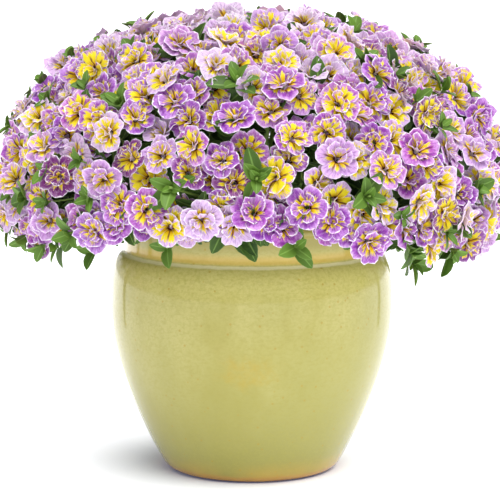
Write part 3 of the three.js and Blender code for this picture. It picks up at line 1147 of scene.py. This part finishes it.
def leafy_stalk(piece, root, control, end, spots, roll, light):
    path = bezier(root, lerp(root, control, 0.6), control, end, STALK_STEPS)
    stalk(piece, path, STALK_RADIUS)
    for spot in spots:
        step = int(spot * STALK_STEPS)
        base = lerp(path[step], path[min(STALK_STEPS, step + 1)], spot * STALK_STEPS % 1)
        axis = unit(minus(end, root))
        away = across_axis(axis, TAU * roll())[0]
        way = plus([a * (0.7 + 0.5 * roll()) for a in away], axis, 0.45 + 0.5 * roll())
        leaf_at(piece, base, way, axis, 17 + 8 * roll(), roll, light + 0.3 * roll())


# %% The calyx, five narrow green tips round the tube
def calyx_bend(across, along):
    angle = TAU * across
    tip = 0.5 + 0.5 * math.cos(5 * TAU * across)
    radius = [0.75, 1.5, 1.9 + 1.3 * tip][round(2 * along)]
    height = [-12.5, -10.5, -8.2 + 4.2 * tip][round(2 * along)]
    return Vector((radius * math.cos(angle), radius * math.sin(angle), height))


shape = new_shape("tone")
add_sheet(shape, 10, 2, calyx_bend)
bmesh.ops.remove_doubles(shape, verts=shape.verts[:], dist=0.001)
smooth(shape.faces)
calyx_mesh = kept_as(shape, "calyx")


# %% The stems: radius, sides and tone
MAIN_STEM = (1.8, 6, (0.4, 0.8, 0))
TRAILING_STEM = (1.5, 6, (0.5, 0.8, 0))
SHOOT_STEM = (1.1, 5, (0.6, 0.7, 0))
SPRIG_STEM = (0.8, 4, (0.6, 0.7, 0))

# %% A finished piece
plant = bpy.data.collections.new("plant")
potting = bpy.data.collections.new("potting")
for group in (plant, potting):
    bpy.context.scene.collection.children.link(group)


def as_piece(shape, name, finish, nodes, group=plant):
    bmesh.ops.remove_doubles(shape, verts=shape.verts[:], dist=1e-6)
    mesh = kept_as(shape, name)
    mesh.materials.append(finish)
    piece = bpy.data.objects.new(name, mesh)
    group.objects.link(piece)
    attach(piece, "root")
    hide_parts(*nodes)
    return piece


# %% [markdown]
# ## The sprays
#
# Each spray becomes two pieces, its flowers and its greenery, because they take different
# finishes. Both stand for the same solid. Two flowers in five are paler than plain lilac,
# one in five is deeper, and some are pinker. Those at the top are painted paler still, for
# the brighter light up there. How much of a flower is yellow differs too.


# %% The tone of one flower: how pink, how pale and how golden
PAINTED_LIGHT_FROM, PAINTED_LIGHT_OVER, PAINTED_LIGHT_AT_TOP = 305, 50, 0.4
ALL_YELLOW, ALL_YELLOW_SHARE = 1.3, 0.05


def flower_tone(height, roll):
    pink = roll() ** 2
    pale = roll()
    pale = 2.5 * pale - 1.5 if pale > 0.6 else min(0, 5 * pale - 1)
    # Painted light: flowers near the top are painted paler, for the brighter light up there.
    pale += PAINTED_LIGHT_AT_TOP * min(1, max(0, (height - PAINTED_LIGHT_FROM) / PAINTED_LIGHT_OVER))
    golden = roll() if roll() > ALL_YELLOW_SHARE else ALL_YELLOW
    return pink, pale, golden


# %% One flower with its calyx, its stalk and the leaves on that
NECK_DEPTH, CONTROL_DEPTH = 12, 24


def add_flower(bloom, green, spray, flower, roll):
    axis, face = flower["axis"], flower["face"]
    x, y = across_axis(axis, flower["turn"])
    where = frame_at(face, x, y, axis, flower["size"])
    kinds = opening_flowers if flower["opening"] else open_flowers
    tone = flower_tone(face[2], roll)
    grow(bloom, kinds[int(len(kinds) * roll())], where, tone)
    grow(green, calyx_mesh, where, (0.55 + 0.3 * roll(), 0.3, 0))
    neck, control = plus(face, axis, -NECK_DEPTH), plus(face, axis, -CONTROL_DEPTH)
    spots = [0.35 + 0.2 * roll()]
    if not flower["in_gap"]:
        spots += [0.6 + 0.15 * roll(), 0.8 + 0.15 * roll()]
    leafy_stalk(green, root_in(spray, face), control, neck, spots, roll, 0.15)


# %% The leaves of a spray's head: one ring that stands out, and a darker one behind it
LOWEST_LEAF = 190
OUTER_LEAVES, INNER_LEAVES = 30, 12


def head_leaf(green, base, way, ray, length, light_up_to, least_light, roll):
    if plus(base, unit(way), length)[2] > LOWEST_LEAF:
        leaf_at(green, base, way, ray, length, roll, least_light + light_up_to * roll())


def add_head(green, head, ray, roll):
    for i in range(OUTER_LEAVES):
        away = across_axis(ray, 2 * TAU * (i + roll()) / OUTER_LEAVES)[0]
        base = plus(plus(head, away, 4 + 18 * roll()), ray, 14 * roll() - 8)
        way = plus([a * (0.8 + 0.5 * roll()) for a in away], ray, 0.2 + 0.7 * roll())
        head_leaf(green, base, way, ray, 22 + 6 * roll(), 0.25, 0.05, roll)
    for i in range(INNER_LEAVES):
        away = across_axis(ray, TAU * (i + roll()) / INNER_LEAVES)[0]
        base = plus(plus(head, away, 2 + 16 * roll()), ray, -8 - 16 * roll())
        way = plus(away, ray, 0.1 + 0.5 * roll())
        head_leaf(green, base, way, ray, 24 + 6 * roll(), 0.12, 0, roll)


# %% Dress each spray
for number, spray in enumerate(sprays):
    roll = dice_for("spray", number)
    spray["bloom"] = new_shape("petal", "tone")
    spray["green"] = new_shape("tone")
    stalk(spray["green"], stem_path(spray["foot"], spray["head"], 8), *MAIN_STEM)
    for flower in spray["flowers"]:
        add_flower(spray["bloom"], spray["green"], spray, flower, roll)
    add_head(spray["green"], spray["head"], spray["ray"], roll)
print("sprays dressed:", len(sprays))

# %% Leafy shoots, in the order in which the solids were numbered
shoot_index = 0
for spray in sprays:
    for shoot in spray["shoots"]:
        roll = dice_for("shoot", shoot_index)
        extra = dice_for("shoot's leaves", shoot_index)
        shoot_index += 1
        point = shoot["point"]
        normal = dome_normal(point)
        root = root_in(spray, point)
        path = bezier(root, lerp(root, point, 0.4), plus(point, normal, -10), plus(point, normal, 2), 4)
        stalk(spray["green"], path, *SHOOT_STEM)
        whorl(spray["green"], plus(point, normal, -4), normal, 3, roll, extra, 2)
print("shoots:", shoot_index)

# %% Sprigs, with five small leaves each
SPRIG_LEAVES = 5
for index, sprig in enumerate(sprigs):
    roll = dice_for("sprig", index)
    spray = spray_under(sprig["point"])
    normal = dome_normal(sprig["point"])
    tip = plus(sprig["point"], normal, 6 * roll() - 5)
    root = root_in(spray, tip)
    path = bezier(root, lerp(root, tip, 0.4), plus(tip, normal, -12), tip, 4)
    stalk(spray["green"], path, *SPRIG_STEM)
    for i in range(SPRIG_LEAVES):
        away = across_axis(normal, TAU * (i + 0.5 * roll()) / SPRIG_LEAVES)[0]
        way = plus([a * (0.3 + 0.6 * roll()) for a in away], normal, 0.7)
        base = plus(tip, normal, -5 * roll())
        leaf_at(spray["green"], base, way, normal, 9 + 7 * roll(), roll, 0.5 + 0.4 * roll())

# %% Finish the sprays
face_count = 0
for number, spray in enumerate(sprays, 1):
    node = f"spray_{number:02d}"
    bloom = as_piece(spray["bloom"], node + "_flowers", petal_finish, [node])
    green = as_piece(spray["green"], node + "_foliage", leaf_finish, [node])
    face_count += len(bloom.data.polygons) + len(green.data.polygons)
print("spray faces:", face_count)

# %% [markdown]
# ## Trailing stems
#
# Between the sprays, leafy stems without flowers arch over the rim and hang below the
# lowest flowers. Each has a whorl of leaves at its tip and three more on the way to it.

# %% Trailing leafy stems
TRAILER_STEPS = 20
for number, trailer in enumerate(trailers):
    roll = dice_for("trailing stem", number)
    extra = dice_for("trailing stem's leaves", number)
    green = new_shape("tone")
    path = stem_path(trailer["foot"], trailer["tip"], TRAILER_STEPS)
    stalk(green, path, *TRAILING_STEM)
    axis = unit(plus(unit(minus(path[-1], path[-2])), [0, 0, 1], 0.8))
    whorl(green, trailer["tip"], axis, 3, roll, extra, 1)
    for share in (0.86, 0.72, 0.58):
        spot = round(share * TRAILER_STEPS) + 1
        axis = unit(minus(path[spot + 1], path[spot]))
        draws = roll if share > 0.8 else extra
        whorl(green, path[spot], axis, 2, draws, extra, 0)
    node = f"leafy_stem_{number + 1:02d}"
    as_piece(green, node + "_leaves", leaf_finish, [node])
print("trailing stems:", len(trailers))

# %% [markdown]
# ## The pot
#
# A thrown pot is a solid of revolution, so its section is spun about the upright axis.
# The section follows the same curves as the solid: a rounded heel, a full belly, a thin
# ridge, and an upright collar that ends in a rolled lip.


# %% The section of the pot, as radius and height: each curve starts where the last one ends
POT_FLOOR = 10
HEEL_START = (62, 0)
POT_CURVES = {
    "heel": ((67, 0), (71, 3.5), (73.5, 9), 5),
    "lower flank": ((91, 40), (113.5, 90), (113.5, 132), 18),
    "upper flank": ((114.2, 156), (111.5, 172), (102.4, 176.6), 12),
    "foot of the collar": ((102.1, 178), (101.5, 179), (101.5, 181), 3),
    "collar": ((101.5, 188), (101.5, 193), (101.5, 196), 3),
    "outside of the lip": ((101.7, 198), (105, 198.5), (105, 201.5), 5),
    "top of the lip": ((105, 206.5), (96, 207.3), (94, 203), 9),
    "inside of the collar": ((94, 195), (94, 190), (94, 181), 3),
    "inside of the upper flank": ((104, 170), (105.5, 150), (105.5, 132), 6),
    "inside of the lower flank": ((105.5, 90), (81, 36), (64, POT_FLOOR), 8),
}
section = [[0, 0, 0], [*HEEL_START, 0]]
for leave, arrive, end, steps in POT_CURVES.values():
    curve = bezier(section[-1], [*leave, 0], [*arrive, 0], [*end, 0], steps)
    section += curve[1:]
section.append([0, POT_FLOOR, 0])
print("pot section:", len(section), "points")


# %% Spin a section into a closed solid
def spun(points, steps):
    """The section starts and ends on the axis, so its poles close when doubles merge."""
    shape = bmesh.new()
    corners = [shape.verts.new((p[0] * MM, 0, p[1] * MM)) for p in points]
    edges = [shape.edges.new(pair) for pair in zip(corners, corners[1:])]
    bmesh.ops.spin(
        shape,
        geom=corners + edges,
        cent=(0, 0, 0),
        axis=(0, 0, 1),
        angle=TAU,
        steps=steps,
        use_merge=True,
    )
    bmesh.ops.remove_doubles(shape, verts=shape.verts[:], dist=1e-6)
    bmesh.ops.recalc_face_normals(shape, faces=shape.faces[:])
    smooth(shape.faces)
    return shape


# %% The pot, with its three drain holes cut through the floor
POT_STEPS = 96
DRAIN_HOLES, DRAIN_RADIUS, DRAIN_FROM_AXIS, DRILL_LENGTH = 3, 7, 34, 30
pot = as_piece(spun(section, POT_STEPS), "glazed_pot", glaze, ["pot"], potting)
for i in range(DRAIN_HOLES):
    angle = TAU * i / DRAIN_HOLES
    spot = (DRAIN_FROM_AXIS * math.cos(angle), DRAIN_FROM_AXIS * math.sin(angle), POT_FLOOR / 2)
    shape = bmesh.new()
    bmesh.ops.create_cone(
        shape,
        cap_ends=True,
        segments=24,
        radius1=DRAIN_RADIUS * MM,
        radius2=DRAIN_RADIUS * MM,
        depth=DRILL_LENGTH * MM,
        matrix=Matrix.Translation(Vector(spot) * MM),
    )
    drill = in_scene("drill", kept_as(shape, "drill"))
    cut = pot.modifiers.new("drain", "BOOLEAN")
    cut.operation = "DIFFERENCE"
    cut.object = drill
    finished = pot.evaluated_get(bpy.context.evaluated_depsgraph_get())
    drilled = bpy.data.meshes.new_from_object(finished)
    pot.modifiers.clear()
    pot.data = drilled
    bpy.data.objects.remove(drill)
pot.data.name = "glazed_pot"
print("pot faces:", len(pot.data.polygons))

# %% [markdown]
# ## The soil
#
# It fills the pot to a little under the rim and is crumbly on top. Hardly more than its
# top could ever be seen, but it is made whole, as the solid is. The top is spun with many
# rings, so that noise can lift its corners into crumbs.

# %% Soil
SOIL_RADIUS, SOIL_FLOOR, SOIL_EDGE, SOIL_STEPS = 93.6, 10.4, 188.5, 72
CRUMBS_FROM, CRUMB_HEIGHT = 188.6, 1.6
soil_side = [[0, SOIL_FLOOR, 0], [63.6, SOIL_FLOOR, 0], [83, 52, 0], [105.1, 132, 0]]
soil_side += [[SOIL_RADIUS, 181, 0], [SOIL_RADIUS, SOIL_EDGE, 0]]
soil_top = [
    [r, SOIL_TOP + SOIL_CROWN * (1 - (r / SOIL_RADIUS) ** 2), 0] for r in range(90, 0, -3)
]
soil_top.append([0, SOIL_TOP + SOIL_CROWN, 0])
shape = spun(soil_side + soil_top, SOIL_STEPS)
for corner in shape.verts:
    if corner.co.z > CRUMBS_FROM * MM:
        lump = noise.noise(corner.co * 90) + 0.5 * noise.noise(corner.co * 300)
        corner.co.z += CRUMB_HEIGHT * MM * lump
for face in shape.faces:
    face.smooth = face.calc_center_median().z < 188 * MM
soil = as_piece(shape, "potting_soil", earth, ["soil"], potting)
print("soil faces:", len(soil.data.polygons))

# %% [markdown]
# ## Floor and light
#
# A pale floor that runs far back, and a bright even surround. The floor glows a little
# blue, which takes away the yellow that the pot throws into its own shadow.
#
# A studio lights a glossy pot and a deep bush of petals differently, and so does this
# scene: each light is linked to what it lights. The plant has one from above, a little in
# front and to the right, a weak one from the front and one from behind. The pot has a soft
# one of its own from the front right. The floor's light is shaded by the pot alone, so that
# the shadow is the soft, short one to the left of the foot, and not a dark pool under the
# whole dome.

# %% Floor
FLOOR_SIZE = 20
shape = bmesh.new()
bmesh.ops.create_grid(shape, x_segments=2, y_segments=2, size=FLOOR_SIZE)
floor = in_scene("floor", kept_as(shape, "floor"))
floor_finish, _ = new_finish(
    "white_floor",
    Base_Color=(0.8, 0.8, 0.8, 1),
    Roughness=0.7,
    Specular_IOR_Level=0,
    Emission_Color=(0.3, 0.46, 1, 1),
    Emission_Strength=0.1,
)
floor.data.materials.append(floor_finish)
print("floor:", 2 * FLOOR_SIZE, "m wide")

# %% Surround
world = bpy.data.worlds.new("studio")
world.use_nodes = True
background = world.node_tree.nodes["Background"]
background.inputs["Color"].default_value = (1, 1, 1, 1)
background.inputs["Strength"].default_value = 0.5
bpy.context.scene.world = world
bpy.context.scene.view_settings.view_transform = "Standard"
print("surround:", world.name)


# %% A large soft light with what it lights and, where not everything does, what shades it
def soft_sun(name, way, power, spread, lit, shaded_by=None):
    data = bpy.data.lights.new(name, "SUN")
    data.energy = power
    data.angle = math.radians(spread)
    lamp = in_scene(name, data)
    lamp.rotation_euler = Vector(way).to_track_quat("-Z", "Y").to_euler()
    lamp.visible_glossy = lit is not potting
    lamp.light_linking.receiver_collection = lit
    lamp.light_linking.blocker_collection = shaded_by


# %% The lights
floor_only = bpy.data.collections.new("floor_only")
floor_only.objects.link(floor)
pot_only = bpy.data.collections.new("pot_only")
pot_only.objects.link(pot)
soft_sun("plant_light", (-0.22, 0.34, -1), power=2.95, spread=35, lit=plant)
soft_sun("front_fill", (0.1, 1, -0.1), power=0.5, spread=80, lit=plant)
soft_sun("back_light", (-0.1, -1, -0.3), power=0.9, spread=60, lit=plant)
soft_sun("pot_light", (-0.6, 0.58, -0.55), 1.1, 50, lit=potting, shaded_by=pot_only)
soft_sun("floor_light", (-0.27, 0.22, -1), 5.9, 70, lit=floor_only, shaded_by=pot_only)
print("lights:", len(bpy.data.lights))

# %% [markdown]
# ## What the glaze mirrors
#
# A glossy pot shows the room as much as its own colour. In a studio a tall dim box of
# light stands behind it on each side, and a black card next to the box. The box gives the
# soft pale band along the edge of the pot, and the card ends that band in a thin dark line.
# Neither is seen by the camera. The cards slant at their foot, so that the line tapers.

# %% Places behind the pot
BOX_REACH, BOX_FROM, BOX_TO, BOX_HEIGHT = 0.9, 127.5, 166, 0.64
CARD_REACH, CARD_FROM, CARD_TO, CARD_HEIGHT = 0.5, 113, 127.2, 0.7
BOX_GLOW = {"left": 0.36, "right": 0.22}
CARD_SLANT = 0.3
EDGE_OF_POT = Vector((0.104, -0.045, 0))


def on_circle(side, degrees, reach):
    """A floor point seen from the pot's edge, degrees away from the camera."""
    angle = math.radians(degrees)
    spot = EDGE_OF_POT + reach * Vector((math.sin(angle), -math.cos(angle), 0))
    return Vector((side * spot.x, spot.y, 0))


# %% A box of light
def add_box(side, label):
    near, far = on_circle(side, BOX_FROM, BOX_REACH), on_circle(side, BOX_TO, BOX_REACH)
    data = bpy.data.lights.new(f"{label}_box", "AREA")
    data.shape = "RECTANGLE"
    data.size, data.size_y = (far - near).length, BOX_HEIGHT
    data.energy = BOX_GLOW[label] * math.pi * data.size * data.size_y
    box = in_scene(f"{label}_box", data)
    box.location = (near + far) / 2 + Vector((0, 0, BOX_HEIGHT / 2))
    to_pot = Vector((-box.location.x, -box.location.y, 0))
    box.rotation_euler = to_pot.to_track_quat("-Z", "Y").to_euler()
    box.visible_camera = False


# %% A black card
card_finish, _ = new_finish("black_card", Base_Color=(0.01, 0.01, 0.01, 1), Roughness=1.0)


def add_card(side, label):
    near, far = on_circle(side, CARD_FROM, CARD_REACH), on_circle(side, CARD_TO, CARD_REACH)
    shape = bmesh.new()
    bmesh.ops.create_grid(shape, x_segments=1, y_segments=1, size=0.5)
    for corner in shape.verts:
        if corner.co.x < 0 and corner.co.y < 0:
            corner.co.x = CARD_SLANT
    wide, tall = far - near, Vector((0, 0, CARD_HEIGHT))
    turned = Matrix((wide, tall, wide.normalized().cross(tall.normalized()))).transposed()
    middle = Matrix.Translation((near + far) / 2 + tall / 2)
    bmesh.ops.transform(shape, matrix=middle @ turned.to_4x4(), verts=shape.verts[:])
    card = in_scene(f"{label}_card", kept_as(shape, f"{label}_card"))
    card.data.materials.append(card_finish)
    card.visible_camera = False
    card.visible_diffuse = False
    card.visible_shadow = False


# %% One of each on both sides
for side, label in ((-1, "left"), (1, "right")):
    add_box(side, label)
    add_card(side, label)
print("boxes and cards on both sides")
